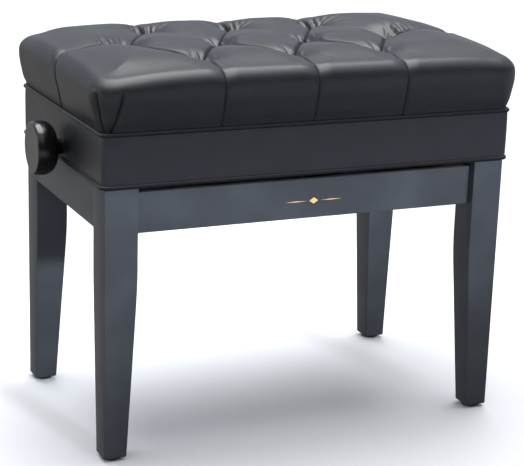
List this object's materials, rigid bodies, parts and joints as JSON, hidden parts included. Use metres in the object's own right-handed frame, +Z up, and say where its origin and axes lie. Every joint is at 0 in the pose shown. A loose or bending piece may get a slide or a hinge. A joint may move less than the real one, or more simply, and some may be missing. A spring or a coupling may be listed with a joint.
{
  "type": "piano bench",
  "caption": "Padded bench with a deep diamond-tufted seat that rises over its tapered-leg frame on a scissor lift, wound by the knobs at its ends.",
  "frame": {"origin": "on the floor under the bench's centre", "axes": "+X along the bench's length, towards its right end seen from the front; +Y to its rear; +Z up"},
  "size_m": [0.61, 0.3438, 0.4843],
  "materials": {
    "lacquer": "satin",
    "vinyl": "satin",
    "cushion_vinyl": "satin",
    "plywood": "matte",
    "black_steel": "satin",
    "bright_steel": "satin",
    "brass": "satin",
    "knob": "gloss",
    "nylon": "matte"
  },
  "bodies": {
    "frame": {"leg_front_left": "lacquer", "leg_front_right": "lacquer", "leg_rear_right": "lacquer", "leg_rear_left": "lacquer", "glide_front_left": "nylon", "glide_front_right": "nylon", "glide_rear_right": "nylon", "glide_rear_left": "nylon", "corner_block_front_left": "plywood", "corner_block_front_right": "plywood", "corner_block_rear_right": "plywood", "corner_block_rear_left": "plywood", "leg_bolt_front_left": "bright_steel", "leg_bolt_front_right": "bright_steel", "leg_bolt_rear_right": "bright_steel", "leg_bolt_rear_left": "bright_steel", "apron_front": "lacquer", "apron_rear": "lacquer", "end_rail_left": "lacquer", "end_rail_right": "lacquer", "base_rail_front": "black_steel", "base_rail_rear": "black_steel", "cross_tie_left": "black_steel", "cross_tie_right": "black_steel", "lower_pivot_shaft": "bright_steel"},
    "seat": {"cushion": "cushion_vinyl", "upper_piping": "vinyl", "lower_piping": "vinyl", "band_cover": "vinyl", "band_board_front": "plywood", "band_board_rear": "plywood", "band_board_left": "plywood", "band_board_right": "plywood", "seat_board": "plywood", "upper_rail_front": "black_steel", "upper_rail_rear": "black_steel", "upper_pivot_pin_front": "bright_steel", "upper_pivot_pin_rear": "bright_steel", "bearing_bracket_left": "black_steel", "bearing_bracket_right": "black_steel", "spindle_bush_left": "nylon", "spindle_bush_right": "nylon"},
    "spindle": {"spindle": "bright_steel", "knob_left": "knob", "knob_right": "knob", "thrust_collar_left": "bright_steel", "thrust_collar_right": "bright_steel"},
    "nut": {"nut_bar": "black_steel", "screw_nut": "brass"},
    "lifting_arms": {"lifting_arm_front": "black_steel", "lifting_arm_rear": "black_steel", "centre_pin_front": "bright_steel", "centre_pin_rear": "bright_steel"},
    "crossing_arms": {"crossing_arm_front": "black_steel", "crossing_arm_rear": "black_steel"},
    "rollers": {"roller_shaft": "bright_steel", "roller_front": "nylon", "roller_rear": "nylon"}
  },
  "joints": [
    {"name": "seat_lift", "type": "slide", "parent": "frame", "child": "seat", "axis": [0, 0, 1], "range_m": [0, 0.08]},
    {"name": "spindle_turn", "type": "hinge", "parent": "seat", "child": "spindle", "pos_m": [0, 0, 0.353], "axis": [1, 0, 0], "range_deg": [0, 3355.9]},
    {"name": "nut_travel", "type": "slide", "parent": "seat", "child": "nut", "axis": [-1, 0, 0], "range_m": [0, 0.01865]},
    {"name": "arm_raise", "type": "hinge", "parent": "frame", "child": "lifting_arms", "pos_m": [-0.19, 0, 0.305], "axis": [0, -1, 0], "range_deg": [0, 12.1]},
    {"name": "arm_cross", "type": "hinge", "parent": "seat", "child": "crossing_arms", "pos_m": [-0.19, 0, 0.353], "axis": [0, 1, 0], "range_deg": [0, 12.1]},
    {"name": "roller_turn", "type": "hinge", "parent": "crossing_arms", "child": "rollers", "pos_m": [0.19703, 0, 0.305], "axis": [0, -1, 0], "range_deg": [0, 178.08]}
  ],
  "couplings": [
    {"joint": "spindle_turn", "follows": "seat_lift", "rad_per_m": 731.93},
    {"joint": "nut_travel", "follows": "seat_lift", "ratio": 0.23298},
    {"joint": "arm_raise", "follows": "seat_lift", "rad_per_m": 2.6377},
    {"joint": "arm_cross", "follows": "seat_lift", "rad_per_m": 2.6377},
    {"joint": "roller_turn", "follows": "seat_lift", "rad_per_m": 38.83}
  ]
}
